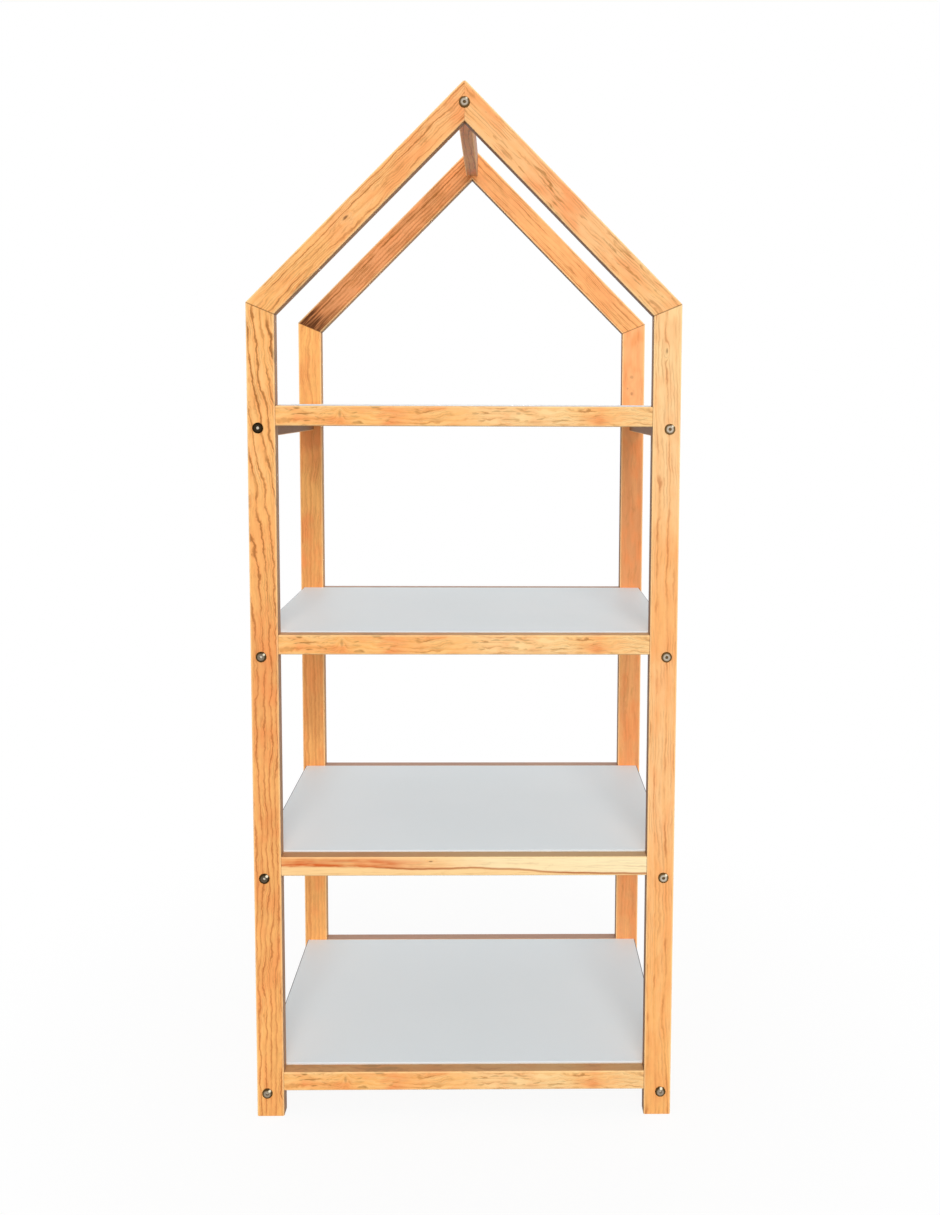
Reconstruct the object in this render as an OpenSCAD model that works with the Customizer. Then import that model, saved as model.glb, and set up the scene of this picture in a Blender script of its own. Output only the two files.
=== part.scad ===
// House-shaped children's bookshelf: two mitred pine house frames, front and back,
// joined by side rails and a ridge beam, with four white shelf boards.
// Millimetres, +Z up, -Y is the front. The origin lies on the floor, midway
// between the posts and midway between the two frames.

/* [House frames] */
// Width over the posts
overall_w = 600; // [480:10:900]
// Depth over the front and back frames
overall_d = 400; // [300:10:600]
// Height of the outer eave corners above the top rails
eave_above = 141; // [110:1:400]
// Rise of the roof from the eaves to the apex
roof_rise = 300; // [200:10:400]
// Face width of the posts and rafters
stick_w = 39; // [36:1:60]
// Thickness of the posts and rafters
frame_t = 20; // [18:0.5:30]
// Rounding of the long arrises of every stick
arris_r = 2; // [1:0.25:3]
// Rounding of the gable's tip
tip_r = 5; // [2:0.5:10]

/* [Front and back rails] */
// Height of the lowest rails' top edge above the floor
first_rail_top = 66; // [55:1:120]
// Distance from one shelf to the next
shelf_pitch = 321; // [220:1:400]
// Height of the front and back rails
rail_h = 28; // [24:1:40]
// How far the rails lie behind the frame's faces, on each side
rail_recess = 0.5; // [0:0.25:2]

/* [Side rails and ridge beam] */
// Thickness of the side rails
side_rail_t = 20; // [17:0.5:25]
// Height of the side rails
side_rail_h = 30; // [26:1:40]
// How far the side rails lie inside the posts' outer sides
side_rail_inset = 5; // [3:0.5:7]
// Thickness of the ridge beam
ridge_t = 20; // [17:0.5:30]
// Height of the ridge beam
ridge_beam_h = 39; // [34:1:45]
// How far the ridge beam's upper arrises lie under the roof lines
ridge_drop = 1; // [0:0.5:4]

/* [Shelf boards] */
// Thickness of the boards
board_t = 15; // [12:0.5:18]
// How far the boards stand above the rails' top edges
board_proud = 1; // [0:0.25:3]
// How far the boards stop short of the posts' outer sides
board_inset = 5; // [3:0.5:10]
// Gap between a board and each house frame
board_gap = 0.5; // [0.3:0.1:2]
// Rounding of the boards' corners, seen from above
board_corner_r = 2; // [1:0.5:8]

/* [Bolts and barrel nuts] */
// Diameter of the bolts' shank
bolt_d = 6; // [5:0.5:7]
// Length of the bolts under the head
bolt_l = 60; // [50:1:80]
// Diameter of the bolts' broad heads
head_d = 15; // [12:0.5:18]
// How far the heads stand out of the wood
head_h = 2.5; // [2:0.25:3.5]
// Height of the upright rim round a head
head_rim_h = 0.8; // [0.5:0.1:1.5]
// Diameter of the flat on a head, inside its rounded edge
head_flat_d = 9; // [7:0.5:11]
// Width across the flats of the hexagon socket
socket_af = 4; // [3:0.5:5]
// Depth of the hexagon socket
socket_deep = 3; // [2:0.25:4]
// Depth of the bolts' axes below the side rails' top face
bolt_drop = 17; // [13:0.5:18]
// Gap all round a bolt in the wood
bolt_clearance = 0.3; // [0.2:0.05:0.6]
// Depth of the bolt holes past the bolts' tips
bolt_end_gap = 2; // [1:0.5:5]
// Distance of the barrel nuts' axes from the frame that the bolt pulls on
nut_reach = 34; // [25:1:40]
// Diameter of the barrel nuts
nut_d = 10; // [9:0.5:12]
// Length of the barrel nuts
nut_l = 16; // [12:0.5:16]
// Gap between a barrel nut and its hole, and between a bolt and its nut
nut_clearance = 0.05; // [0.05:0.01:0.2]
// Width of the screwdriver slot in a barrel nut's end
slot_w = 1.4; // [1:0.1:2]
// Depth of the screwdriver slot
slot_deep = 1; // [0.5:0.25:1.5]

/* [Dowels] */
// Diameter of the wooden dowels
dowel_d = 6; // [5:0.5:8]
// Length of the wooden dowels
dowel_l = 28; // [20:1:30]
// Room left for glue at each end of a dowel
dowel_end_gap = 1; // [0.5:0.25:2]
// Gap between a dowel and its hole
dowel_clearance = 0.05; // [0.05:0.01:0.15]
// Distance between the two dowels in a rail's end
rail_dowel_gap = 12; // [10:0.5:13]
// Distance of the eave dowels from the ends of the mitre
mitre_dowel_in = 13; // [11:0.5:15]

/* [Hidden] */

// Sides and ends of the shelf, as the sign of X and of Y
LEFT = -1;
RIGHT = 1;
FRONT = -1;
BACK = 1;
LEVELS = [1, 2, 3, 4];

PINE = "sandybrown";
WHITE = "whitesmoke";
STEEL = "silver";
BEECH = "wheat";

// Flats in each rounded arris, and in each half of the rounded tip
arris_steps = 3;
tip_steps = 3;
round_fn = 32;
// How far a cutting solid runs past the wood that it cuts
over = 2;
// Steps in the rounded edge of a bolt's head
head_steps = 4;
// Chamfer on the bolts' tips and on the dowels' ends
end_edge = 0.6;

half_w = overall_w / 2;
half_d = overall_d / 2;
bay_w = overall_w - 2 * stick_w;
bay_d = overall_d - 2 * frame_t;
eave_h = rail_top(len(LEVELS)) + eave_above;
ridge_h = eave_h + roof_rise;

// Slope of the roof, and how far the eave mitre falls below the horizontal
roof_a = atan2(roof_rise, half_w);
mitre_a = (90 - roof_a) / 2;
rafter_l = half_w / cos(roof_a);
inner_apex_h = ridge_h - stick_w / cos(roof_a);
eave_mitre_l = stick_w / cos(mitre_a);

rail_t = frame_t - 2 * rail_recess;
ridge_axis_h = ridge_h - ridge_t / 2 * tan(roof_a) - ridge_drop - ridge_beam_h / 2;
side_axis_in = side_rail_inset + side_rail_t / 2;
dowel_hole_l = dowel_l / 2 + dowel_end_gap;
apex_dowel_h = (ridge_axis_h - bolt_d / 2 - bolt_clearance + inner_apex_h) / 2;

function rail_top(level) = first_rail_top + (level - 1) * shelf_pitch;
function side_rail_top(level) = rail_top(level) + board_proud - board_t;
function bolt_h(level) = side_rail_top(level) - bolt_drop;

// Depth of a barrel nut's inner end in wood of thickness t, with the nut at mid thickness
function nut_deep(t) = (t + nut_l) / 2;

// Corner points of a rectangle w by h with rounded corners, from its lower left corner
function eased_points(w, h, r) = [
    for (q = [0:3], k = [0:arris_steps])
        let (a = 90 * q + 90 * k / arris_steps)
        [
            (q == 0 || q == 3 ? w - r : r) + r * cos(a),
            (q < 2 ? h - r : r) + r * sin(a)
        ]
];

// A planed stick along +Z, w wide in X and t thick in Y
module stick(l, w, t) {
    linear_extrude(l) polygon(eased_points(w, t, arris_r));
}

// Moves a piece drawn at the front left to its own corner of the shelf
module corner(side, end) {
    mirror([side == RIGHT ? 1 : 0, 0, 0])
        mirror([0, end == BACK ? 1 : 0, 0])
            children();
}

// Moves a piece drawn at the front to the back, where it belongs there
module at_end(end) {
    mirror([0, end == BACK ? 1 : 0, 0]) children();
}

// A prism across the front frame, from its outline in X and Z
module across_frame(points) {
    translate([0, -half_d + frame_t + over, 0])
        rotate([90, 0, 0])
            linear_extrude(frame_t + 2 * over) polygon(points);
}

// The bolt hole through the front frame, along +Y
module frame_bolt_hole(x, z) {
    translate([x, -half_d - over, z]) rotate([-90, 0, 0])
        cylinder(h = 2 * over + frame_t, d = bolt_d + 2 * bolt_clearance, $fn = round_fn);
}

// The bolt hole in the end of a side rail or the ridge beam, along +Y
module rail_bolt_hole(x, z) {
    translate([x, -half_d + frame_t - over, z]) rotate([-90, 0, 0])
        cylinder(
            h = over + bolt_l - frame_t + bolt_end_gap,
            d = bolt_d + 2 * bolt_clearance,
            $fn = round_fn
        );
}

// The hole for a barrel nut, drilled along -X from the face at x into wood of thickness t
module nut_hole(x, z, t) {
    deep = nut_deep(t) + nut_clearance;
    translate([x - deep, -half_d + frame_t + nut_reach, z]) rotate([0, 90, 0])
        cylinder(h = deep + over, d = nut_d + 2 * nut_clearance, $fn = round_fn);
}

// A blind dowel hole on both sides of the joint, centred on the origin, along Z
module dowel_hole() {
    cylinder(
        h = 2 * dowel_hole_l,
        d = dowel_d + 2 * dowel_clearance,
        center = true,
        $fn = round_fn
    );
}

// Puts its child at each dowel of the front left rail ends on one level
module at_rail_dowels(level) {
    for (s = [-1, 1])
        translate([
            -bay_w / 2,
            -half_d + frame_t / 2,
            rail_top(level) - rail_h / 2 + s * rail_dowel_gap / 2
        ])
            rotate([0, 90, 0]) children();
}

// Puts its child at each dowel of the front left eave mitre, square to the mitre
module at_eave_dowels() {
    for (d = [mitre_dowel_in, eave_mitre_l - mitre_dowel_in])
        translate([
            -half_w + d * cos(mitre_a),
            -half_d + frame_t / 2,
            eave_h - d * sin(mitre_a)
        ])
            rotate([0, mitre_a, 0]) children();
}

// Puts its child at the dowel of the front apex mitre
module at_apex_dowel() {
    translate([0, -half_d + frame_t / 2, apex_dowel_h]) rotate([0, 90, 0]) children();
}

// A post, mitred at its head, with its four bolt holes and its dowel holes
module post(side, end) {
    mitre_fall = tan(mitre_a);
    color(PINE) corner(side, end) difference() {
        intersection() {
            translate([-half_w, -half_d, 0]) stick(eave_h + over, stick_w, frame_t);
            across_frame([
                [-half_w - over, -over],
                [-bay_w / 2 + over, -over],
                [-bay_w / 2 + over, eave_h - (stick_w + over) * mitre_fall],
                [-half_w - over, eave_h + over * mitre_fall]
            ]);
        }
        for (level = LEVELS) {
            frame_bolt_hole(-half_w + side_axis_in, bolt_h(level));
            at_rail_dowels(level) dowel_hole();
        }
        at_eave_dowels() dowel_hole();
    }
}

// A rafter, mitred at the eave and at the apex, with its half of the rounded tip
module rafter(side, end) {
    mitre_fall = tan(mitre_a);
    tip_centre_h = ridge_h - tip_r / cos(roof_a);
    color(PINE) corner(side, end) difference() {
        intersection() {
            translate([-half_w, -half_d, eave_h])
                rotate([0, 90 - roof_a, 0])
                    translate([0, 0, -stick_w])
                        stick(rafter_l + 2 * stick_w, stick_w, frame_t);
            across_frame(concat(
                [
                    [-half_w - over, eave_h + over * mitre_fall],
                    [-bay_w / 2 + over, eave_h - (stick_w + over) * mitre_fall],
                    [0, inner_apex_h - over]
                ],
                [
                    for (k = [0:tip_steps])
                        let (a = 90 + roof_a * k / tip_steps)
                        [tip_r * cos(a), tip_centre_h + tip_r * sin(a)]
                ],
                [
                    [-(tip_r + over) * sin(roof_a), tip_centre_h + (tip_r + over) * cos(roof_a)],
                    [-half_w - over, eave_h + 2 * over]
                ]
            ));
        }
        frame_bolt_hole(0, ridge_axis_h);
        at_eave_dowels() dowel_hole();
        at_apex_dowel() dowel_hole();
    }
}

// A front or back rail between the posts, with two dowel holes in each end
module rail(level, end) {
    color(PINE) at_end(end) difference() {
        translate([-bay_w / 2, -half_d + rail_recess, rail_top(level) - rail_h])
            rotate([90, 0, 90]) stick(bay_w, rail_t, rail_h);
        for (side = [LEFT, RIGHT])
            corner(side, FRONT) at_rail_dowels(level) dowel_hole();
    }
}

// A side rail between the frames, with a bolt hole and a nut hole at each end
module side_rail(level, side) {
    inner_x = -half_w + side_rail_inset + side_rail_t;
    color(PINE) corner(side, FRONT) difference() {
        translate([inner_x - side_rail_t, bay_d / 2, side_rail_top(level) - side_rail_h])
            rotate([90, 0, 0]) stick(bay_d, side_rail_t, side_rail_h);
        for (end = [FRONT, BACK]) at_end(end) {
            rail_bolt_hole(-half_w + side_axis_in, bolt_h(level));
            nut_hole(inner_x, bolt_h(level), side_rail_t);
        }
    }
}

// The beam under the ridge, joined to the frames as the side rails are
module ridge_beam() {
    color(PINE) difference() {
        translate([-ridge_t / 2, bay_d / 2, ridge_axis_h - ridge_beam_h / 2])
            rotate([90, 0, 0]) stick(bay_d, ridge_t, ridge_beam_h);
        for (end = [FRONT, BACK]) at_end(end) {
            rail_bolt_hole(0, ridge_axis_h);
            nut_hole(ridge_t / 2, ridge_axis_h, ridge_t);
        }
    }
}

// A loose board, lying on two side rails between the house frames
module shelf_board(level) {
    w = overall_w - 2 * board_inset;
    d = bay_d - 2 * board_gap;
    color(WHITE) translate([-w / 2, -d / 2, side_rail_top(level)])
        linear_extrude(board_t) polygon(eased_points(w, d, board_corner_r));
}

// A broad-headed socket bolt along +Y, with the underside of its head on the frame's face
module bolt(x, z) {
    translate([x, -half_d, z]) rotate([-90, 0, 0]) difference() {
        rotate_extrude($fn = round_fn) polygon(concat(
            [[0, -head_h]],
            [
                for (k = [0:head_steps])
                    let (a = 90 * k / head_steps)
                    [
                        head_flat_d / 2 + (head_d - head_flat_d) / 2 * sin(a),
                        -head_rim_h - (head_h - head_rim_h) * cos(a)
                    ]
            ],
            [
                [head_d / 2, 0],
                [bolt_d / 2, 0],
                [bolt_d / 2, bolt_l - end_edge],
                [bolt_d / 2 - end_edge, bolt_l],
                [0, bolt_l]
            ]
        ));
        translate([0, 0, -head_h - over])
            cylinder(h = socket_deep + over, d = socket_af / cos(30), $fn = 6);
    }
}

// The nine bolts of one house frame
module bolts(end) {
    color(STEEL) at_end(end) {
        for (side = [LEFT, RIGHT], level = LEVELS)
            corner(side, FRONT) bolt(-half_w + side_axis_in, bolt_h(level));
        bolt(0, ridge_axis_h);
    }
}

// A barrel nut along X in wood of thickness t, whose face is at x, with its slot in line
// with the bolt
module barrel_nut(x, z, t) {
    translate([x - nut_deep(t), -half_d + frame_t + nut_reach, z]) difference() {
        rotate([0, 90, 0]) cylinder(h = nut_l, d = nut_d, $fn = round_fn);
        translate([nut_l / 2, nut_d, 0]) rotate([90, 0, 0])
            cylinder(h = 2 * nut_d, d = bolt_d + 2 * nut_clearance, $fn = round_fn);
        translate([nut_l - slot_deep, -nut_d, -slot_w / 2])
            cube([slot_deep + over, 2 * nut_d, slot_w]);
    }
}

// The eight barrel nuts in the side rails of one side
module side_barrel_nuts(side) {
    color(STEEL) corner(side, FRONT)
        for (end = [FRONT, BACK], level = LEVELS)
            at_end(end)
                barrel_nut(-half_w + side_rail_inset + side_rail_t, bolt_h(level), side_rail_t);
}

// The two barrel nuts in the ridge beam
module ridge_barrel_nuts() {
    color(STEEL) for (end = [FRONT, BACK])
        at_end(end) barrel_nut(ridge_t / 2, ridge_axis_h, ridge_t);
}

// A wooden dowel along Z, centred on the origin, with eased ends
module dowel() {
    rotate_extrude($fn = round_fn) polygon([
        [0, -dowel_l / 2],
        [dowel_d / 2 - end_edge, -dowel_l / 2],
        [dowel_d / 2, -dowel_l / 2 + end_edge],
        [dowel_d / 2, dowel_l / 2 - end_edge],
        [dowel_d / 2 - end_edge, dowel_l / 2],
        [0, dowel_l / 2]
    ]);
}

// The dowels between the rails and posts of one house frame
module rail_dowels(end) {
    color(BEECH) at_end(end)
        for (side = [LEFT, RIGHT], level = LEVELS)
            corner(side, FRONT) at_rail_dowels(level) dowel();
}

// The dowels across the eave and apex mitres of one house frame
module mitre_dowels(end) {
    color(BEECH) at_end(end) {
        for (side = [LEFT, RIGHT])
            corner(side, FRONT) at_eave_dowels() dowel();
        at_apex_dowel() dowel();
    }
}

post(LEFT, FRONT);  // front_left_post
post(RIGHT, FRONT);  // front_right_post
rafter(LEFT, FRONT);  // front_left_rafter
rafter(RIGHT, FRONT);  // front_right_rafter
rail(1, FRONT);  // front_rail_1
rail(2, FRONT);  // front_rail_2
rail(3, FRONT);  // front_rail_3
rail(4, FRONT);  // front_rail_4
post(LEFT, BACK);  // back_left_post
post(RIGHT, BACK);  // back_right_post
rafter(LEFT, BACK);  // back_left_rafter
rafter(RIGHT, BACK);  // back_right_rafter
rail(1, BACK);  // back_rail_1
rail(2, BACK);  // back_rail_2
rail(3, BACK);  // back_rail_3
rail(4, BACK);  // back_rail_4
side_rail(1, LEFT);  // left_side_rail_1
side_rail(2, LEFT);  // left_side_rail_2
side_rail(3, LEFT);  // left_side_rail_3
side_rail(4, LEFT);  // left_side_rail_4
side_rail(1, RIGHT);  // right_side_rail_1
side_rail(2, RIGHT);  // right_side_rail_2
side_rail(3, RIGHT);  // right_side_rail_3
side_rail(4, RIGHT);  // right_side_rail_4
ridge_beam();
shelf_board(1);  // shelf_board_1
shelf_board(2);  // shelf_board_2
shelf_board(3);  // shelf_board_3
shelf_board(4);  // shelf_board_4
bolts(FRONT);  // front_bolts
bolts(BACK);  // back_bolts
side_barrel_nuts(LEFT);  // left_barrel_nuts
side_barrel_nuts(RIGHT);  // right_barrel_nuts
ridge_barrel_nuts();
rail_dowels(FRONT);  // front_rail_dowels
rail_dowels(BACK);  // back_rail_dowels
mitre_dowels(FRONT);  // front_mitre_dowels
mitre_dowels(BACK);  // back_mitre_dowels
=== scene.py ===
"""A house-shaped children's bookshelf: varnished pine frames, white boards and broad-headed bolts.

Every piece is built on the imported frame, in metres, with +Z up and the front towards -Y.
Run as a script, it makes the pieces, the stage and the camera in order.
"""

import math

import bmesh
import bpy
from mathutils import Euler, Matrix, Vector


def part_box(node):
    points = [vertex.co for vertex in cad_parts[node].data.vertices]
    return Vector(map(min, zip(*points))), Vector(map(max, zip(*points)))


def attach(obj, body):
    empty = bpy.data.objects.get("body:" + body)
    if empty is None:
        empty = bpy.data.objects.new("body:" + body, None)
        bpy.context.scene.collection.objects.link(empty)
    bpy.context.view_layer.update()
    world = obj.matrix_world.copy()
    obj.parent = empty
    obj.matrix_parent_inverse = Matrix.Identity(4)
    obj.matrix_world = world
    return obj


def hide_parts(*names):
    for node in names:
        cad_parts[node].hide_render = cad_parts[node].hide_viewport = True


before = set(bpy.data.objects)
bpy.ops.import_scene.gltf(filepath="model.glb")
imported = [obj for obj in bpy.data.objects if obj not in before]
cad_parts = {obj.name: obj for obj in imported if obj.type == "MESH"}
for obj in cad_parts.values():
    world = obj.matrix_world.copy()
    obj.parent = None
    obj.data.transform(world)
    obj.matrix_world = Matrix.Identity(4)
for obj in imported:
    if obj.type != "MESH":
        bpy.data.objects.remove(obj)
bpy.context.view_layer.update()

bl_info = {
    "name": "House Bookshelf",
    "version": (1, 0, 0),
    "blender": (4, 5, 0),
    "location": "View3D > Sidebar > Bookshelf",
    "description": "Makes a house-shaped pine bookshelf with white boards",
    "category": "Add Mesh",
}

HOUSE = "house_frames"
LEVELS = (1, 2, 3, 4)
LEFT, RIGHT = -1, 1
FRONT, BACK = -1, 1
SIDE_NAMES = {LEFT: "left", RIGHT: "right"}
END_NAMES = {FRONT: "front", BACK: "back"}


def shade(red, green, blue):
    """A colour from its values on a screen, 0 to 255, as the shaders want it."""
    return tuple(
        c / 12.92 if c <= 0.04045 else ((c + 0.055) / 1.055) ** 2.4
        for c in (red / 255, green / 255, blue / 255)
    )


def colour_of(name, description, *screen):
    """A colour that a user can change, from its values on a screen."""
    return bpy.props.FloatVectorProperty(
        name=name, description=description, default=shade(*screen), subtype="COLOR", size=3,
        min=0, max=1,
    )


def length_of(name, description, default):
    """A length in metres that a user can change."""
    return bpy.props.FloatProperty(
        name=name, description=description, default=default, min=0, unit="LENGTH", precision=4
    )


class BookshelfSizes(bpy.types.PropertyGroup):
    """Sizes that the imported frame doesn't give by itself."""

    arris: length_of("Arris", "Rounding of the sticks' long edges", 0.002)
    tip: length_of("Gable tip", "Rounding of the gable's tip", 0.005)
    cut_edge: length_of("Cut edge", "Sanding of the sawn ends' edges", 0.0006)
    board_edge: length_of("Board edge", "Rounding of the boards' edges", 0.0003)
    board_corner: length_of("Board corner", "Rounding of the boards' corners", 0.002)
    bolt_drop: length_of("Bolt drop", "Bolt axes below the side rails' top faces", 0.017)
    bolt: length_of("Bolt", "Diameter of the bolts' shank", 0.006)
    bolt_length: length_of("Bolt length", "Length of the bolts under their heads", 0.06)
    bolt_head: length_of("Bolt head", "Diameter of the bolts' broad heads", 0.015)
    bolt_head_height: length_of("Bolt head height", "How far the heads stand out", 0.0025)
    bolt_head_flat: length_of("Bolt head flat", "Diameter of the flat on a head", 0.009)
    bolt_hole: length_of("Bolt hole", "Diameter of the bolt holes in the wood", 0.0066)
    socket: length_of("Socket", "Width across the flats of the bolts' sockets", 0.004)
    socket_depth: length_of("Socket depth", "Depth of the bolts' sockets", 0.003)
    hole_edge: length_of("Hole edge", "Chamfer round the barrel nuts' holes", 0.0004)
    nut: length_of("Barrel nut", "Diameter of the barrel nuts", 0.01)
    nut_reach: length_of("Nut reach", "Barrel nut axes behind the frame that they hold", 0.034)
    roof_slope: bpy.props.FloatProperty(
        name="Roof slope",
        description="Angle of the rafters to the floor",
        default=math.radians(45),
        subtype="ANGLE",
    )


class BookshelfFinishes(bpy.types.PropertyGroup):
    """Colours of the wood, the boards and the metal."""

    honey: colour_of("Honey pine", "Varnished pine in its usual colour", 253, 187, 110)
    pale: colour_of("Pale pine", "Sapwood under varnish", 254, 216, 156)
    deep: colour_of("Deep pine", "Darker, browner pine under varnish", 214, 142, 84)
    grain: colour_of("Grain line", "Late wood of the growth rings", 140, 86, 36)
    stain: colour_of("Stain", "Resin stains in the wood", 244, 146, 84)
    rosy: colour_of("Rosy pine", "Pinker wood in some of the sticks", 250, 176, 128)
    cream: colour_of("Cream pine", "Very pale sapwood", 255, 234, 186)
    heartwood: colour_of("Heartwood", "Red heartwood over the streak", 210, 92, 38)
    vein: colour_of("Vein", "The streak's own dark line", 180, 98, 48)
    olive: colour_of("Olive fleck", "Short dark marks in the wood", 156, 104, 46)
    # Painted shade, milder, on the lighter of each stick's two sides.
    side_shade: colour_of("Planed side", "Shade of the sides against the faces", 240, 232, 226)
    # Painted shade: a greyish tint for the faces that lie in shade.
    shade_tint: colour_of("Bloom", "Thin grey film on the faces that aren't wiped", 176, 150, 152)
    knot: colour_of("Knot", "Heart of a knot", 92, 52, 26)
    seam: colour_of("Seam", "Stain that has soaked into the sawn ends", 118, 76, 40)
    board: colour_of("Board white", "Melamine face of the boards", 233, 239, 242)
    # A dark line drawn along the ends of the boards' top faces.
    clouded: colour_of("Board clouds", "Faint clouds in the boards' white", 228, 238, 242)
    end_line: colour_of("Glue line", "Dark joint at the boards' ends", 58, 48, 56)
    edging: colour_of("Board edging", "Band round the boards' edges", 196, 198, 198)
    # The bolts' colours carry painted light: steel is a painted reflection on the brighter faces
    # and in some sockets, tarnish is painted shade and dark reflection on the rims and darker
    # faces, and the real dirt of the nuts, bare metal is a painted glint on the rims, and brown is
    # the lighter painted shade on the rims of the brighter heads.
    steel: colour_of("Bolt steel", "Plating of the bolts where it is rubbed bright", 212, 200, 182)
    tarnish_and_shade: colour_of("Tarnish", "Plating of the bolts where it has darkened", 38, 29, 15)
    glint: colour_of("Bare metal", "Rims of the bolts where they are rubbed bare", 255, 244, 214)
    brown: colour_of("Brown tarnish", "Thinner tarnish on the rims of the worn bolts", 118, 90, 50)
    zinc: colour_of("Nut zinc", "Zinc plating of the barrel nuts", 176, 176, 170)
    beech: colour_of("Beech", "Raw beech of the dowels", 222, 186, 146)
    beech_cloud: colour_of("Beech clouds", "Darker beech in places", 204, 160, 118)
    beech_ray: colour_of("Beech rays", "Short dark rays in the beech", 176, 128, 88)


class Recipe:
    """Adds and joins the shader nodes of one finish."""

    def __init__(self, name):
        self.material = bpy.data.materials.new(name)
        self.material.use_nodes = True
        self.tree = self.material.node_tree
        self.tree.nodes.clear()
        self.shader = self.add("ShaderNodeBsdfPrincipled")
        self.output = self.add("ShaderNodeOutputMaterial")
        self.tree.links.new(self.shader.outputs["BSDF"], self.output.inputs["Surface"])

    def add(self, kind, **choices):
        """A new node with its choices made."""
        node = self.tree.nodes.new(kind)
        for key, value in choices.items():
            setattr(node, key, value)
        return node

    def put(self, socket, value):
        """Joins a socket to another node's output, or sets its value."""
        if isinstance(value, bpy.types.NodeSocket):
            self.tree.links.new(value, socket)
        elif value is not None:
            socket.default_value = value

    def math(self, operation, *values, clamp=False):
        """One step of arithmetic."""
        node = self.add("ShaderNodeMath", operation=operation, use_clamp=clamp)
        for socket, value in zip(node.inputs, values):
            self.put(socket, value)
        return node.outputs[0]

    def times(self, first, *others):
        """The product of values."""
        for other in others:
            first = self.math("MULTIPLY", first, other)
        return first

    def plus(self, first, second):
        """The sum of two values."""
        return self.math("ADD", first, second)

    def minus(self, first, second):
        """The second value taken from the first."""
        return self.math("SUBTRACT", first, second)

    def scaled(self, value, factor, start):
        """A value times a factor, added to a start."""
        return self.math("MULTIPLY_ADD", value, factor, start)

    def span(self, x, y):
        """How far away a point is, x across and y along."""
        return self.math("SQRT", self.plus(self.times(x, x), self.times(y, y)))

    def place(self, centre=(0, 0, 0), turn=(0, 0, 0)):
        """Object coordinates seen from a piece's own centre and direction."""
        node = self.add("ShaderNodeMapping", vector_type="TEXTURE")
        node.inputs["Location"].default_value = centre
        node.inputs["Rotation"].default_value = turn
        source = self.add("ShaderNodeTexCoord")
        self.put(node.inputs["Vector"], source.outputs["Object"])
        return node.outputs[0]

    def split(self, vector):
        """The three parts of a vector."""
        node = self.add("ShaderNodeSeparateXYZ")
        self.put(node.inputs[0], vector)
        return node.outputs[0], node.outputs[1], node.outputs[2]

    def join(self, x, y, z):
        """A vector from its three parts."""
        node = self.add("ShaderNodeCombineXYZ")
        for socket, value in zip(node.inputs, (x, y, z)):
            self.put(socket, value)
        return node.outputs[0]

    def vector(self, operation, first, second):
        """One step of arithmetic with vectors, as its vector and its number."""
        node = self.add("ShaderNodeVectorMath", operation=operation)
        self.put(node.inputs[0], first)
        self.put(node.inputs[1], second)
        return tuple(node.outputs)

    def noise(self, vector, factors, seed, detail=2.0, roughness=0.5, distortion=0.0):
        """Soft noise from 0 to 1, with its own number of waves a metre in each direction."""
        node = self.add("ShaderNodeTexNoise", noise_dimensions="4D")
        self.put(node.inputs["Vector"], self.vector("MULTIPLY", vector, factors)[0])
        node.inputs["W"].default_value = seed
        node.inputs["Scale"].default_value = 1
        node.inputs["Detail"].default_value = detail
        node.inputs["Roughness"].default_value = roughness
        node.inputs["Distortion"].default_value = distortion
        return node.outputs["Fac"]

    def along(self, share, stops, how="EASE"):
        """A value that changes along the stick, from (share, value) stops, or stays the same."""
        node = self.add("ShaderNodeValToRGB")
        self.put(node.inputs[0], share)
        node.color_ramp.interpolation = how
        elements = node.color_ramp.elements
        elements.remove(elements[-1])
        for number, (position, value) in enumerate(as_stops(stops)):
            stop = elements.new(position) if number else elements[0]
            stop.position = position
            stop.color = (value, value, value, 1)
        return node.outputs[0]

    def ease(self, value, low, high, start=0.0, end=1.0):
        """A smooth change from start at low to end at high."""
        node = self.add("ShaderNodeMapRange", interpolation_type="SMOOTHSTEP")
        for socket, number in zip(node.inputs, (value, low, high, start, end)):
            self.put(socket, number)
        return node.outputs[0]

    def rim(self, value, half, band, much=1.0):
        """0 inside a piece and much at its rim, over a band of (inner, outer) depths."""
        return self.ease(value, half - band[0], half - band[1], 0.0, much)

    def blend(self, share, first, second, mode="MIX"):
        """Two colours mixed by a share of the second."""
        node = self.add("ShaderNodeMix", data_type="RGBA", blend_type=mode)
        self.put(node.inputs[0], share)
        self.put(node.inputs[6], rgba(first))
        self.put(node.inputs[7], rgba(second))
        return node.outputs[2]

    def surface(self, colour, roughness, height=None, bump=0.2, depth=0.0002):
        """Puts colour, roughness and bump on the shader."""
        self.put(self.shader.inputs["Base Color"], rgba(colour))
        self.put(self.shader.inputs["Roughness"], roughness)
        if height is not None:
            node = self.add("ShaderNodeBump")
            node.inputs["Strength"].default_value = bump
            node.inputs["Distance"].default_value = depth
            self.put(node.inputs["Height"], height)
            self.put(self.shader.inputs["Normal"], node.outputs[0])
        return self.material


def rgba(colour):
    """A colour with its alpha, or a socket as it is."""
    return colour if isinstance(colour, bpy.types.NodeSocket) else (*tuple(colour)[:3], 1.0)


# Attributes of the bolts. The first: how far from the bolt's axis, in head radii, how bright the
# head's face is painted, a painted reflection, and 1 in the socket. The second: where a painted
# glint lies on the rim.
HEAD_REFLECTION = "head_reflection"
PAINTED_GLINT = "rubbed"
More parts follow.
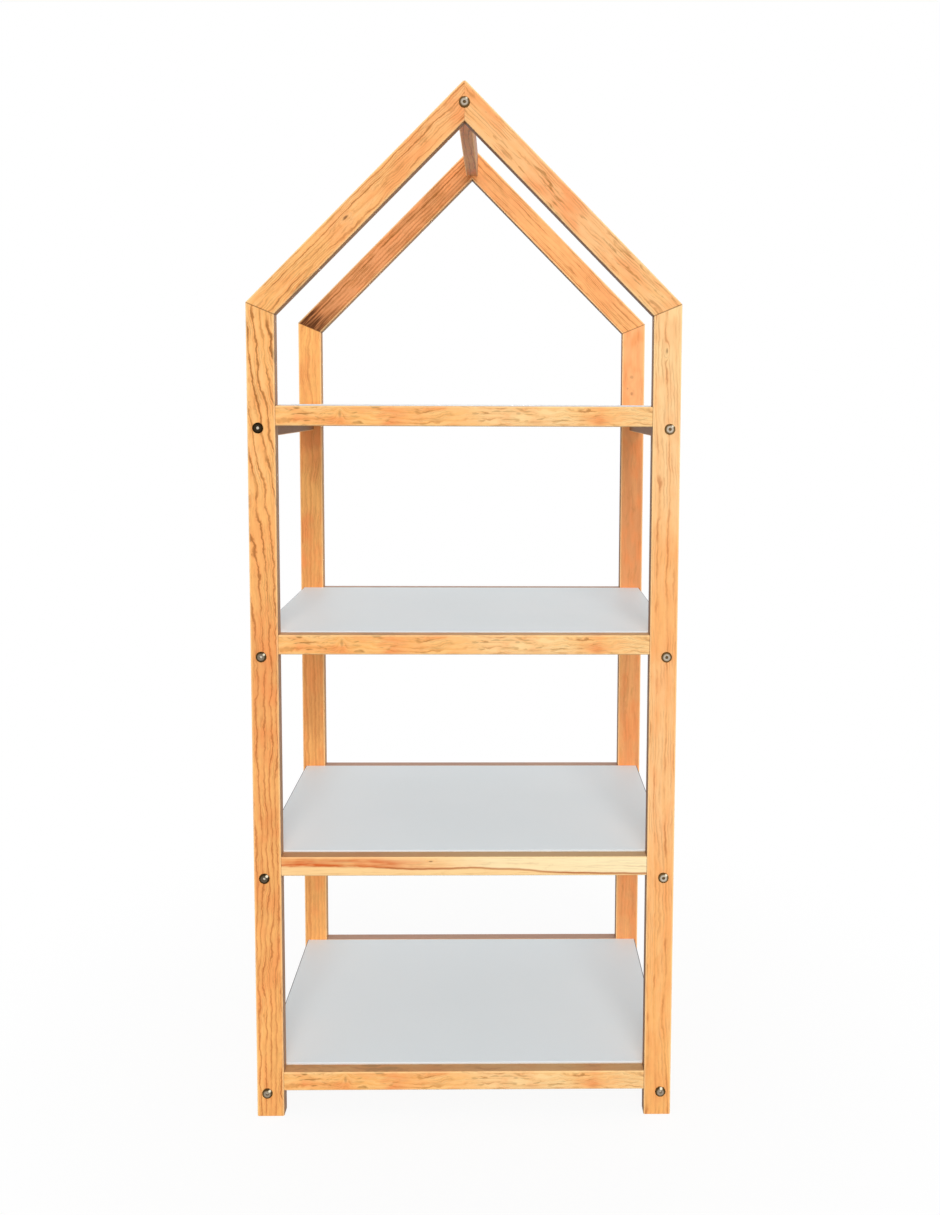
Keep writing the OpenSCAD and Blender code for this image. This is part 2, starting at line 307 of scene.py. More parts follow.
# Painted light of each bolt, from the lowest up: how bright its face is painted, a painted
# reflection, how strong the painted glint on its rim is, and the angle of that glint.
PAINTED_REFLECTIONS = {
    "left": ((0.44, 1.0, 50), (0.12, 1.1, 45), (0.3, 0.85, 40), (0.03, 0.3, 20)),
    "right": ((0.45, 1.1, 80), (0.85, 1.0, 50), (0.78, 0.3, 45), (0.9, 0.8, 50)),
    "ridge": (0.75, 0.8, 60),
}

# What the finishes draw along edges, in metres. The first four start and are full at these depths
# within a piece's rim. The stain that soaks into a sawn seam is full and ends this far from it.
# Band of the painted highlight on the rounded arrises.
ARRIS_HIGHLIGHT = (0.0030, 0.0012)
# Band where the painted shade on a stick's sides lies.
SHADED_SIDE = (0.0006, 0.0001)
BOARD_EDGING = (0.0009, 0.0004)
BOARD_JOINT = (0.0020, 0.0014)
SAWN_SEAM = (0.0004, 0.0011)
# How much of that stain shows at the eaves and at the apex.
EAVE_STAIN = 0.6
APEX_STAIN = 0.12
# Small lengths in metres: how far a cutting form goes past what it cuts, a barrel nut's play and
# its hole's depth past the rail's middle, and the forms of the bolts.
PAST = 0.002
NUT_PLAY = 0.00005
NUT_PAST_MIDDLE = 0.008
HEAD_RIM = 0.0008
HEAD_EDGE = 0.0002
PLAIN_SHANK = 0.03
BOLT_POINT = 0.002
SOCKET_LIP = 0.00025
SOCKET_TOP = 0.0004
SOCKET_DISH = 0.0006
# How far the painted glint on a head's rim spreads.
GLINT_SPREAD = 0.0017
# The thread's root and the bolt's point as shares of the shank, the socket's mouth and the ring
# taken as within it as shares of its corners, and the painted glint's place on the head's radius.
THREAD_ROOT = 0.82
POINT_WIDTH = 0.75
SOCKET_MOUTH = 1.12
WITHIN_SOCKET = 1.05
GLINT_PLACE = 0.75
# Angle of the first bolt as it was tightened and the step to the next, in radians.
TIGHTENED = (0.2, 0.37)
# Cuts that round a gable's tip, steps that round a bolt's head, and turns of a bolt's thread.
TIP_CUTS = 5
HEAD_STEPS = 8
THREADS = 26

# How the grain runs in each stick. Lengths are in metres, seen along the stick: x across its
# face, y through its thickness and z along it, from its centre. Ramps are pairs of a share of
# the length, from the stick's start, and a value, or the value that the whole stick has.
#   rings   ramp of the growth rings for each metre across, in hundreds
#   heart   where the tree's heart lies
#   drift   ramp of the sideways run of the grain, in fifths of a metre
#   wave    slow, middling and quick waviness, in rings
#   line    strength of the ring lines, least and most
#   force   ramp that multiplies it
#   thick   half width of a line at its thinnest and at its thickest
#   bold    ramp that multiplies the lines' width
#   breaks  breaks in the lines for each metre, and the share of a line that is broken
#   fine    strength of the fine lines between the rings
#   fleck   ramp of the strength of the short wavy flecks
#   tone    ramp of the base colour: 0 pale, 0.5 honey, 1 deep
#   stain   ramp of the strength of the orange stains
#   rosy    ramp of the pinker wood
#   warm    ramp of how orange the lines are, where they aren't dark brown
#   darkened_end  ramp of the darkening at a stick's end
#   shade_tint  strength of the painted greyish shade on the darker side, and elsewhere
#   side    painted shade on the darker of the two sides, multiplied over its colour
#   inner   1 if that is the side at the end of x, -1 if it is at the start
#   knots   x, z, half width, half length and strength of each knot
#   streak  ramps of a dark line along the stick, and of the red and pale wood over it
#   seed    where the noise starts
PLAIN = dict(
    rings=1.1, heart=(-0.16, 0.03), drift=0.0, wave=(1.0, 0.3, 0.12), line=(0.25, 0.7),
    force=1.0, thick=(0.0004, 0.0011), bold=1.0, breaks=(20, 0.35), fine=0.2, fleck=0.3,
    tone=0.6, stain=0.25, rosy=0.0, warm=None, darkened_end=None, shade_tint=(0.0, 0.0),
    side=(172, 160, 160), inner=1, knots=(), streak=None, seed=1.0,
)
FIGURES = {
    "front_left_post": dict(
        rings=((0, 1.25), (0.4, 1.3), (0.62, 1.05), (0.8, 0.8)), heart=(-0.20, 0.02),
        drift=((0, 0.05), (0.25, 0.02), (0.62, 0.02), (0.74, 0.08), (0.87, 0.22), (1, 0.36)),
        wave=(1.2, 0.7, 0.38), line=(0.6, 1.0), thick=(0.0006, 0.0012),
        bold=((0, 0.9), (0.55, 0.95), (0.73, 0.9), (0.8, 1.4), (1, 1.6)), breaks=(22, 0.34),
        force=((0, 0.75), (0.55, 0.75), (0.75, 0.95)), fine=0.35, fleck=0.2,
        warm=((0, 0.8), (0.55, 0.7), (0.7, 0.2), (0.85, 0.0)),
        tone=((0, 0.54), (0.3, 0.62), (0.6, 0.68), (0.72, 0.56), (0.85, 0.46)),
        stain=((0, 0.4), (0.5, 0.6), (0.8, 0.25)), rosy=((0, 0.0), (0.6, 0.1), (1, 0.1)),
        side=(200, 192, 208), seed=3.1,
    ),
    "front_right_post": dict(
        rings=0.9, heart=(0.10, 0.05), drift=((0, 0.0), (1, 0.1)),
        wave=(0.8, 0.3, 0.16), line=(0.1, 0.75), thick=(0.0006, 0.0013),
        breaks=(26, 0.62), fleck=0.1, fine=0.3, stain=0.25, warm=0.8,
        tone=(
            (0, 0.54), (0.28, 0.42), (0.4, 0.28), (0.56, 0.28), (0.6, 0.5), (0.69, 0.44),
            (0.76, 0.14), (0.87, 0.04), (1, 0.0),
        ),
        rosy=((0, 0.05), (0.4, 0.3), (0.8, 0.25), (1, 0.05)), side=(150, 132, 124), inner=-1,
        seed=7.4, knots=((-0.001, 0.521, 0.0014, 0.0038, 0.6),),
    ),
    "front_left_rafter": dict(
        rings=((0, 0.9), (0.3, 1.0)), heart=(-0.18, 0.03), wave=(1.2, 0.6, 0.24),
        line=(0.3, 0.9), thick=(0.0005, 0.0011), bold=((0, 1.5), (0.2, 1.2), (0.35, 1.0)),
        breaks=(20, 0.48), force=((0, 1.0), (0.4, 0.9), (1, 0.75)), fine=0.3,
        fleck=0.4, tone=((0, 0.42), (1, 0.46)), side=(184, 160, 134),
        stain=((0, 0.3), (0.6, 0.4), (1, 0.6)), rosy=((0, 0.1), (0.6, 0.25), (1, 0.4)),
        seed=11.2, knots=((-0.003, -0.0335, 0.0016, 0.0046, 0.75),),
    ),
    "front_right_rafter": dict(
        rings=0.9, heart=(0.14, 0.05), wave=(1.0, 0.35, 0.15), line=(0.1, 0.5),
        breaks=(30, 0.6), fine=0.3, fleck=((0, 0.5), (0.5, 0.9), (0.8, 0.5)),
        side=(134, 110, 88), inner=-1, tone=((0, 0.2), (0.5, 0.26), (1, 0.32)),
        stain=((0, 0.3), (0.5, 0.6), (1, 0.5)), rosy=((0, 0.15), (0.5, 0.45), (1, 0.3)),
        seed=14.8,
    ),
    "back_left_post": dict(
        rings=((0, 1.4), (0.6, 1.4), (0.88, 0.9)), heart=(-0.22, 0.03),
        drift=((0, 0.0), (1, 0.08)), wave=(1.1, 0.8, 0.3), line=(0.04, 0.26),
        thick=(0.0014, 0.0026), breaks=(14, 0.35), fine=0.3, fleck=0.1,
        tone=(
            (0, 0.68), (0.3, 0.74), (0.4, 0.74), (0.56, 0.68), (0.62, 0.7), (0.7, 0.74),
            # The deep tone at 0.83 to 0.86 is a painted shadow of the board above.
            (0.77, 0.58), (0.805, 0.62), (0.83, 1.1), (0.86, 1.2), (0.89, 0.6),
        ),
        stain=((0, 0.4), (0.4, 0.4), (0.7, 0.7), (0.88, 0.4)), warm=0.8, seed=17.5,
        side=(224, 212, 200), knots=((0.003, -0.38, 0.0016, 0.0026, 0.5),),
    ),
    "back_right_post": dict(
        rings=1.0, heart=(0.05, 0.07), wave=(0.6, 0.25, 0.12), line=(0.05, 0.25),
        thick=(0.0008, 0.0016), breaks=(24, 0.6), fine=0.15, fleck=0.2,
        tone=(
            (0, 0.84), (0.3, 0.88), (0.56, 0.78), (0.61, 1.2), (0.7, 1.08), (0.84, 0.86),
            (0.89, 0.62),
        ),
        stain=((0, 0.4), (0.5, 0.6), (1, 0.7)), rosy=((0, 0.25), (0.84, 0.3), (0.89, 0.6)),
        warm=0.8, side=(160, 144, 140), inner=-1, seed=21.3,
        knots=(
            (0.004, 0.06, 0.004, 0.006, 0.45), (-0.002, 0.465, 0.0026, 0.0032, 0.45),
            (-0.003, 0.494, 0.003, 0.003, 0.3), (-0.0095, 0.474, 0.0016, 0.002, 0.3),
        ),
    ),
    "back_left_rafter": dict(
        rings=2.0, heart=(-0.15, 0.04), wave=(1.0, 0.5, 0.25), line=(0.5, 1.0),
        thick=(0.0006, 0.0013), breaks=(25, 0.35), fine=0.8, fleck=0.5,
        tone=((0, 1.2), (0.4, 1.05), (1, 0.95)), stain=0.4, rosy=0.35,
        darkened_end=((0, 1.5), (0.06, 1.05), (0.12, 0.45), (0.2, 0.1), (0.3, 0.0)), seed=25.9,
        side=(224, 212, 200),
    ),
    "back_right_rafter": dict(
        rings=1.3, heart=(0.15, 0.04), wave=(0.9, 0.3, 0.15), line=(0.3, 0.7),
        breaks=(22, 0.5), fine=0.35, tone=((0, 0.6), (1, 0.64)), rosy=0.35, seed=28.6,
        side=(140, 126, 120), inner=-1,
    ),
    "flecked_rail": dict(
        rings=1.3, heart=(-0.10, 0.05), wave=(1.4, 1.3, 0.5), line=(0.2, 0.85),
        thick=(0.0007, 0.0016), breaks=(40, 0.62), fine=0.2,
        fleck=((0, 1.0), (0.4, 1.0), (0.5, 0.9), (0.62, 0.5), (0.7, 0.7), (0.9, 0.45)),
        tone=(
            (0, 0.42), (0.3, 0.4), (0.45, 0.36), (0.58, 0.16), (0.75, 0.06), (0.85, 0.28), (1, 0.1),
        ),
        stain=(
            (0, 0.3), (0.05, 0.8), (0.10, 0.3), (0.17, 0.8), (0.22, 0.4), (0.28, 0.9), (0.36, 0.3),
            (0.43, 0.7), (0.5, 0.2), (0.66, 0.4), (0.72, 0.2), (0.82, 0.3), (0.86, 0.7), (0.9, 0.2),
        ),
        seed=33.0, side=(206, 192, 188), inner=-1,
        knots=((-0.003, -0.172, 0.005, 0.0022, 0.35), (-0.004, 0.075, 0.0014, 0.0034, 0.3)),
    ),
    "streaked_rail": dict(
        rings=0.9, heart=(0.12, 0.05), wave=(0.8, 0.3, 0.1), line=(0.05, 0.2), breaks=(30, 0.6),
        fine=0.1, fleck=0.12, tone=((0, 0.32), (1, 0.1)),
        stain=((0, 0.5), (0.4, 0.35), (0.5, 0.05)), seed=37.0, side=(196, 182, 178), inner=-1,
        knots=((-0.0075, -0.048, 0.0011, 0.0034, 0.7),),
        streak=dict(
            stretch=1 / 0.522, wobble=0.006,
            path=(
                (0, 0.5), (0.2, 0.48), (0.33, 0.66), (0.5, 0.55), (0.6, 0.6), (0.75, 0.84),
                (1, 0.9),
            ),
            red=((0, 1.0), (0.18, 0.9), (0.28, 0.9), (0.36, 0.4), (0.5, 0.1), (0.6, 0.0)),
            pale=((0, 0.0), (0.4, 0.2), (0.6, 0.8), (1, 1.0)),
            dark=((0, 0.2), (0.22, 0.3), (0.32, 0.85), (0.7, 0.7), (0.8, 0.9), (1, 0.8)),
        ),
    ),
    "back_rail": dict(
        line=(0.2, 0.7), tone=0.7, stain=0.5, side=(204, 198, 206), inner=-1, shade_tint=(0.45, 0.0),
    ),
    "side_rail": dict(line=(0.3, 0.8), tone=0.7, side=(160, 142, 138)),
    "ridge_beam": dict(
        line=(0.3, 0.8), tone=0.7, stain=0.7, side=(182, 160, 146), shade_tint=(0.12, 0.16),
    ),
}


def as_stops(ramp):
    """A ramp's stops, from its stops or from the one value that it has everywhere."""
    return ((0, ramp),) if isinstance(ramp, (int, float)) else ramp


def halves(ramp):
    """A ramp with half of each value, for values over 1."""
    return [(place, value / 2) for place, value in as_stops(ramp)]


def pine(name, finishes, centre, turn, size, figure, cuts=()):
    """Varnished pine, with growth rings round a heart that runs along the stick."""
    f = {**PLAIN, **figure}
    seed = f["seed"]
    r = Recipe(name)
    at = r.place(centre, turn)
    x, y, z = r.split(at)
    share = r.scaled(z, 1 / size[2], 0.5)

    def ramp(key):
        return r.along(share, f[key])

    def grain(across, lengthwise, step, *more):
        """Noise with its waves a metre across the stick and along it."""
        return r.noise(at, (across, across, lengthwise), seed + step, *more)

    drift = r.along(share, f["drift"], "B_SPLINE")
    heart_x, heart_y = f["heart"]
    radius = r.span(r.minus(r.scaled(drift, 0.2, x), heart_x), r.minus(y, heart_y))
    radius = r.minus(radius, math.hypot(heart_x, heart_y))
    dense = r.times(r.along(share, halves(f["rings"])), 200.0)
    rings = r.times(radius, dense)
    uneven = r.noise(r.join(rings, 0.0, 0.0), (0.7, 0, 0), seed + 2.0, 1.0)
    rings = r.scaled(uneven, 0.8, rings)
    quick = r.minus(grain(110, 85, 1.4, 3.0, 0.6), 0.5)
    waves = r.minus(grain(20, 4.5, 0, 1.0), 0.5), r.minus(grain(45, 24, 0.7, 1.5), 0.5), quick
    for wave, much in zip(waves, f["wave"]):
        rings = r.scaled(wave, much * 2, rings)

    knot = 0.0
    for knot_x, knot_z, half_x, half_z, much in f["knots"]:
        away_x = r.math("DIVIDE", r.minus(x, knot_x), half_x)
        away_z = r.math("DIVIDE", r.minus(z, knot_z), half_z)
        away = r.plus(r.span(away_x, away_z), r.times(quick, 1.5))
        rings = r.plus(rings, r.ease(away, 0.4, 4.5, 0.9, 0.0))
        knot = r.math("MAXIMUM", knot, r.ease(away, 0.3, 1.5, much, 0.0))

    number = r.math("FLOOR", rings)
    part = r.math("FRACT", rings)
    half = r.ease(grain(130, 70, 2.6, 2.0, 0.6), 0.3, 0.7, *f["thick"])
    half = r.times(half, dense, r.times(r.along(share, halves(f["bold"])), 2.0))
    aside = r.math("DIVIDE", r.math("ABSOLUTE", r.minus(part, 0.8)), half)
    one = r.add("ShaderNodeTexWhiteNoise", noise_dimensions="1D")
    r.put(one.inputs["W"], r.plus(number, seed))
    least, most = f["line"]
    strength = r.scaled(one.outputs["Value"], most - least, least)
    each, broken = f["breaks"]
    gaps = r.noise(r.join(r.times(number, 7.3), 0.0, z), (1, 1, each), seed + 2.3, 2.0)
    level = 0.25 + 0.5 * broken
    whole = r.ease(gaps, level - 0.1, level + 0.1, 0.12, 1.0)
    strength = r.times(strength, whole, ramp("force"))
    line = r.times(r.ease(aside, 0.3, 1.8, 1.0, 0.0), strength)
    halo = r.times(r.ease(aside, 0.8, 4.0, 0.35, 0.0), strength)
    third = r.math("FRACT", r.scaled(rings, 3.0, 0.4))
    third = r.times(r.ease(third, 0.3, 0.8), r.ease(third, 0.85, 1.0, 1.0, 0.0))
    fine = r.times(third, r.ease(grain(70, 22, 3.2, 2.0), 0.42, 0.62), f["fine"])

    fibre = grain(1100, 30, 4.1, 3.0, 0.6)
    mottle = grain(300, 120, 4.7, 2.0, 0.6)
    cloud = grain(24, 9, 9.9, 3.0)
    fleck = r.ease(grain(165, 36, 5.6, 2.0, 0.5, 0.9), 0.55, 0.66)
    fleck = r.times(fleck, r.ease(grain(60, 22, 6.2, 2.0), 0.36, 0.56), ramp("fleck"))
    blot = r.times(r.ease(grain(48, 22, 8.5, 2.0), 0.40, 0.68), ramp("stain"))

    tone = r.times(ramp("tone"), 2.0)
    tone = r.scaled(r.minus(cloud, 0.5), 1.1, tone)
    tone = r.scaled(r.minus(mottle, 0.5), 0.5, tone)
    tone = r.plus(tone, r.ease(part, 0.1, 0.8, -0.10, 0.12))
    base = r.blend(r.math("MINIMUM", tone, 1.0, clamp=True), finishes.pale, finishes.honey)
    base = r.blend(r.math("SUBTRACT", tone, 1.0, clamp=True), base, finishes.deep)
    base = r.blend(ramp("rosy"), base, finishes.rosy)
    base = r.blend(blot, base, finishes.stain)
    if f["streak"]:
        base = heart_streak(r, f["streak"], at, x, z, seed, base, finishes)
    base = r.blend(halo, base, finishes.stain)
    dark = r.times(r.math("SUBTRACT", fibre, 0.5, clamp=True), 0.8)
    base = r.blend(dark, base, finishes.grain)
    ink = finishes.grain
    if f["warm"]:
        ink = r.blend(ramp("warm"), finishes.grain, finishes.vein)
    base = r.blend(fine, base, ink)
    base = r.blend(r.times(line, 0.85), base, ink)
    base = r.blend(r.times(fleck, 0.8), base, finishes.olive)
    base = r.blend(knot, base, finishes.knot)
    # Darker towards the stick's end, in streaks.
    if f["darkened_end"]:
        streaks = r.ease(grain(420, 22, 11.3, 2.0), 0.35, 0.6, 0.45, 1.0)
        base = r.blend(r.times(ramp("darkened_end"), streaks), base, finishes.knot)

    edge = size[0] / 2
    # Painted highlight: the rounded arrises are painted paler.
    arris = r.rim(r.math("ABSOLUTE", x), edge, ARRIS_HIGHLIGHT, 0.5)
    base = r.blend(arris, base, finishes.pale)
    # Painted shade: the darker side is multiplied by its own shade, the other side by a milder one.
    side = r.rim(r.times(x, float(f["inner"])), edge, SHADED_SIDE)
    base = r.blend(side, base, shade(*f["side"]), "MULTIPLY")
    other = r.rim(r.times(x, -float(f["inner"])), edge, SHADED_SIDE)
    base = r.blend(other, base, finishes.side_shade, "MULTIPLY")
    # Painted shade: a greyish tint over the darker side, and a weaker one elsewhere where given.
    on_side, elsewhere = f["shade_tint"]
    if on_side:
        base = r.blend(r.scaled(side, on_side - elsewhere, elsewhere), base, finishes.shade_tint)
    if cuts:
        seam = 0.0
        plain = r.place()
        for point, normal, much in cuts:
            height = r.vector("DOT_PRODUCT", plain, normal)[1]
            off = r.minus(height, Vector(point).dot(normal))
            soaked = r.ease(r.math("ABSOLUTE", off), *SAWN_SEAM, much, 0.0)
            seam = r.math("MAXIMUM", seam, soaked)
        base = r.blend(seam, base, finishes.seam)

    height = r.scaled(fibre, 0.35, r.times(line, 0.5))
    r.surface(base, r.ease(fibre, 0.2, 0.8, 0.44, 0.54), height, 0.25, 0.0002)
    r.shader.inputs["Specular IOR Level"].default_value = 0.14
    return r.material


def heart_streak(r, streak, at, x, z, seed, base, finishes):
    """A dark wavy line along the stick, with redder wood over it that pales along the stick."""
    share = r.scaled(z, streak["stretch"], 0.5)
    path = r.scaled(r.along(share, streak["path"], "B_SPLINE"), 0.028, -0.014)
    slow = r.minus(r.noise(at, (0, 0, 18), seed + 3.7, 3.0), 0.5)
    above = r.minus(r.scaled(slow, streak["wobble"], path), x)
    ragged = r.minus(r.noise(at, (120, 120, 50), seed + 4.4, 3.0, 0.6), 0.5)
    upper = r.ease(r.scaled(ragged, 0.006, above), -0.0010, 0.0012)
    veins = r.ease(r.noise(at, (240, 240, 10), seed + 5.1, 3.0, 0.55), 0.36, 0.6, 0.35, 1.0)
    cloud = r.ease(r.noise(at, (110, 110, 26), seed + 6.3, 3.0), 0.35, 0.55, 0.5, 1.0)
    near = r.ease(above, 0.003, 0.016, 1.0, 0.45)
    red = r.times(r.along(share, streak["red"]), veins, near, cloud)
    base = r.blend(r.times(upper, r.along(share, streak["pale"])), base, finishes.cream)
    base = r.blend(r.times(upper, red), base, finishes.heartwood)
    base = r.blend(r.times(r.minus(1.0, upper), 0.75), base, finishes.pale)
    mark = r.ease(r.math("ABSOLUTE", above), 0.0004, 0.0023, 1.0, 0.0)
    return r.blend(r.times(mark, r.along(share, streak["dark"])), base, finishes.vein)


def melamine(finishes):
    """White melamine with a fine pearl texture, duller edges, and a dark line along the ends of its
    top face.
    """
    r = Recipe("white_board")
    at = r.place()
    x, y, _ = r.split(at)
    pearl = r.noise(at, (1400, 1400, 1400), 2.0, 2.0)
    cloud = r.noise(at, (9, 9, 9), 5.0, 2.0)
    base = r.blend(r.ease(cloud, 0.3, 0.7, 0.0, 0.10), finishes.board, finishes.clouded)
    base = r.blend(r.ease(pearl, 0.45, 0.7, 0.0, 0.08), base, finishes.edging)
    half = middle("shelf_board_1")[1] / 2
    front = r.rim(r.math("ABSOLUTE", y), half.y, BOARD_EDGING)
    ends = r.rim(r.math("ABSOLUTE", x), half.x, BOARD_EDGING)
    base = r.blend(r.math("MAXIMUM", front, ends), base, finishes.edging)
    normal = r.add("ShaderNodeNewGeometry").outputs["Normal"]
    top = r.ease(r.split(normal)[2], 0.5, 0.8)
    # A dark line along the ends of each board's top face.
    joint = r.rim(r.math("ABSOLUTE", x), half.x, BOARD_JOINT)
    base = r.blend(r.times(joint, top), base, finishes.end_line)
    r.surface(base, r.ease(cloud, 0.3, 0.7, 0.46, 0.54), pearl, 0.12, 0.0001)
    r.shader.inputs["Specular IOR Level"].default_value = 0.3
    return r.material


def plating(finishes):
    """Plated steel with painted shade on the rims, painted reflections on some faces and sockets,
    and painted glints.
    """
    r = Recipe("bolt_plating")
    at = r.place()
    head_reflection = r.add("ShaderNodeAttribute", attribute_name=HEAD_REFLECTION)
    away, worn, deep = r.split(head_reflection.outputs["Vector"])
    fine = r.noise(at, (2600, 2600, 2600), 3.0, 2.0)
    dirt = r.minus(r.noise(at, (420, 420, 420), 5.0, 3.0), 0.5)
    # Painted reflection: each head's face is painted as bright as given for it, fading into painted
    # shade towards the rim.
    face = r.times(r.ease(r.scaled(dirt, 0.3, away), 0.5, 0.8, 1.0, 0.0), worn)
    face = r.times(face, r.scaled(dirt, 1.2, 1.0))
    # Painted light in the socket: a bright painted reflection in the darker heads, painted shade in
    # the brighter ones.
    hole = r.ease(worn, 0.45, 0.7, 1.0, 0.04)
    bright = r.scaled(r.minus(hole, face), deep, face)
    # Painted glint on the rim, where the glint attribute puts it.
    rubbed = r.add("ShaderNodeAttribute", attribute_name=PAINTED_GLINT)
    glint_mask = r.ease(r.scaled(dirt, 0.4, rubbed.outputs["Fac"]), 0.3, 0.85)
    # Painted shade on the rims and the darker faces: near black, browner on the brighter heads.
    base = r.blend(worn, finishes.tarnish_and_shade, finishes.brown)
    base = r.blend(bright, base, finishes.steel)
    base = r.blend(glint_mask, base, finishes.glint)
    r.surface(base, r.ease(fine, 0.3, 0.7, 0.2, 0.28), fine, 0.12, 0.00005)
    r.shader.inputs["Metallic"].default_value = 1.0
    r.shader.inputs["Specular Tint"].default_value = (*finishes.brown, 1)
    return r.material


def zinc(finishes):
    """Zinc-plated steel with fine turning marks and a little dirt."""
    r = Recipe("nut_zinc")
    at = r.place()
    fine = r.noise(at, (2600, 2600, 2600), 9.0, 2.0)
    dirt = r.noise(at, (420, 420, 420), 11.0, 3.0)
    base = r.blend(r.ease(dirt, 0.35, 0.7, 0.0, 0.5), finishes.zinc, finishes.tarnish_and_shade)
    r.surface(base, r.ease(fine, 0.3, 0.7, 0.28, 0.42), fine, 0.15, 0.00005)
    r.shader.inputs["Metallic"].default_value = 1.0
    return r.material


def raw_beech(finishes):
    """Unvarnished beech, with its short rays."""
    r = Recipe("beech_dowel")
    at = r.place()
    ray = r.ease(r.noise(at, (700, 700, 1500), 4.0, 2.0), 0.55, 0.7)
    cloud = r.noise(at, (60, 60, 60), 6.0, 2.0)
    base = r.blend(r.ease(cloud, 0.3, 0.7, 0.0, 0.4), finishes.beech, finishes.beech_cloud)
    base = r.blend(r.times(ray, 0.5), base, finishes.beech_ray)
    return r.surface(base, r.ease(cloud, 0.3, 0.7, 0.55, 0.7), ray, 0.2, 0.0001)


def round_off(bm, edges, amount, segments):
    """Rounds edges of a form."""
    bmesh.ops.bevel(
        bm, geom=edges, offset=amount, offset_type="OFFSET", segments=segments, profile=0.5,
        affect="EDGES", clamp_overlap=True, material=-1,
    )


def stick(size, radius):
    """A planed stick along Z, centred on the origin, with its long arrises rounded."""
    bm = bmesh.new()
    bmesh.ops.create_cube(bm, size=1)
    bmesh.ops.scale(bm, vec=size, verts=bm.verts)
    round_off(bm, [e for e in bm.edges if e.calc_length() > 0.99 * size[2]], radius, 5)
    return bm


def saw(bm, point, normal):
    """Cuts off what lies on the normal's side of a plane, and closes the cut."""
    cut = bmesh.ops.bisect_plane(
        bm, geom=bm.verts[:] + bm.edges[:] + bm.faces[:], plane_co=point, plane_no=normal,
        clear_outer=True, dist=1e-7,
    )
    edges = [g for g in cut["geom_cut"] if isinstance(g, bmesh.types.BMEdge)]
    bmesh.ops.holes_fill(bm, edges=edges, sides=0)


def soften(bm, amount, segments=2):
    """Sands every sharp edge of a form."""
    sharp = [e for e in bm.edges if e.calc_face_angle(0) > math.radians(35)]
    round_off(bm, sharp, amount, segments)


def turned(profile, steps):
    """A closed form turned round the Y axis from (radius, y) points that start and end on it."""
    bm = bmesh.new()
    points = [bm.verts.new((radius, y, 0)) for radius, y in profile]
    edges = [bm.edges.new(pair) for pair in zip(points, points[1:])]
    bmesh.ops.spin(
        bm, geom=points + edges, cent=(0, 0, 0), axis=(0, 1, 0), angle=math.tau, steps=steps,
        use_merge=True,
    )
    bmesh.ops.remove_doubles(bm, verts=bm.verts, dist=1e-6)
    bmesh.ops.recalc_face_normals(bm, faces=bm.faces)
    return bm


def gather(forms):
    """One form from several, each with the matrix that puts it in its place."""
    whole = bmesh.new()
    for form, matrix in forms:
        mesh = bpy.data.meshes.new("form")
        form.to_mesh(mesh)
        mesh.transform(matrix)
        whole.from_mesh(mesh)
        bpy.data.meshes.remove(mesh)
    return whole


def solid(name, bm):
    """An object with a form as its mesh."""
    mesh = bpy.data.meshes.new(name)
    bm.to_mesh(mesh)
    bm.free()
    piece = bpy.data.objects.new(name, mesh)
    bpy.context.scene.collection.objects.link(piece)
    return piece


def discard(piece):
    """Removes an object and its mesh."""
    mesh = piece.data
    bpy.data.objects.remove(piece)
    bpy.data.meshes.remove(mesh)


def apply_modifiers(piece):
    """Keeps the mesh that the modifiers make, and drops the modifiers."""
    depsgraph = bpy.context.evaluated_depsgraph_get()
    made = bpy.data.meshes.new_from_object(piece.evaluated_get(depsgraph))
    old = piece.data
    piece.modifiers.clear()
    piece.data = made
    bpy.data.meshes.remove(old)


def drill(piece, cutter_form):
    """Takes a cutting form out of a piece."""
    cutter = solid("cutter", cutter_form)
    modifier = piece.modifiers.new("bore", "BOOLEAN")
    modifier.operation = "DIFFERENCE"
    modifier.solver = "EXACT"
    modifier.object = cutter
    apply_modifiers(piece)
    discard(cutter)


def dress(piece, material, slot, body, *nodes):
    """Smooths a piece, gives it its finish and puts it in its nodes' place."""
    piece.data.materials.clear()
    piece.data.materials.append(material)
    piece.data.shade_smooth()
    piece.data.set_sharp_from_angle(angle=math.radians(32))
    modifier = piece.modifiers.new("flat faces", "WEIGHTED_NORMAL")
    modifier.mode = "FACE_AREA"
    modifier.weight = 100
    modifier.keep_sharp = True
    apply_modifiers(piece)
    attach(piece, body)
    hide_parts(*nodes)


def varnished(name, bm, finishes, centre, turn, size, figure, cuts=(), bores=None):
    """Makes a sawn and sanded form the pine stick that stands for a node."""
    piece = solid(f"{name}_pine", bm)
    if bores is not None:
        drill(piece, bores)
    wood = pine(f"{name}_pine", finishes, centre, turn, size, figure, cuts)
    dress(piece, wood, "pine", HOUSE, name)


def middle(node):
    """The centre and the size of a CAD node."""
    low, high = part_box(node)
    return (low + high) / 2, high - low


def settings(context):
    """The sizes and the finishes of the scene."""
    return context.scene.bookshelf_sizes, context.scene.bookshelf_finishes


def corners(kind):
    """End, side and name of the four posts or rafters."""
    for end, end_name in END_NAMES.items():
        for side, side_name in SIDE_NAMES.items():
            yield end, side, f"{end_name}_{side_name}_{kind}"


def put(bm, centre, turn):
    """Turns a form and moves it from the origin to its place."""
    place = Matrix.Translation(centre) @ turn.to_matrix().to_4x4()
    bmesh.ops.transform(bm, matrix=place, verts=bm.verts)


def level_bolt(sizes, side, level):
    """X and Z of a side rail's bolts."""
    centre, size = middle(f"{SIDE_NAMES[side]}_side_rail_{level}")
    return centre.x, centre.z + size.z / 2 - sizes.bolt_drop


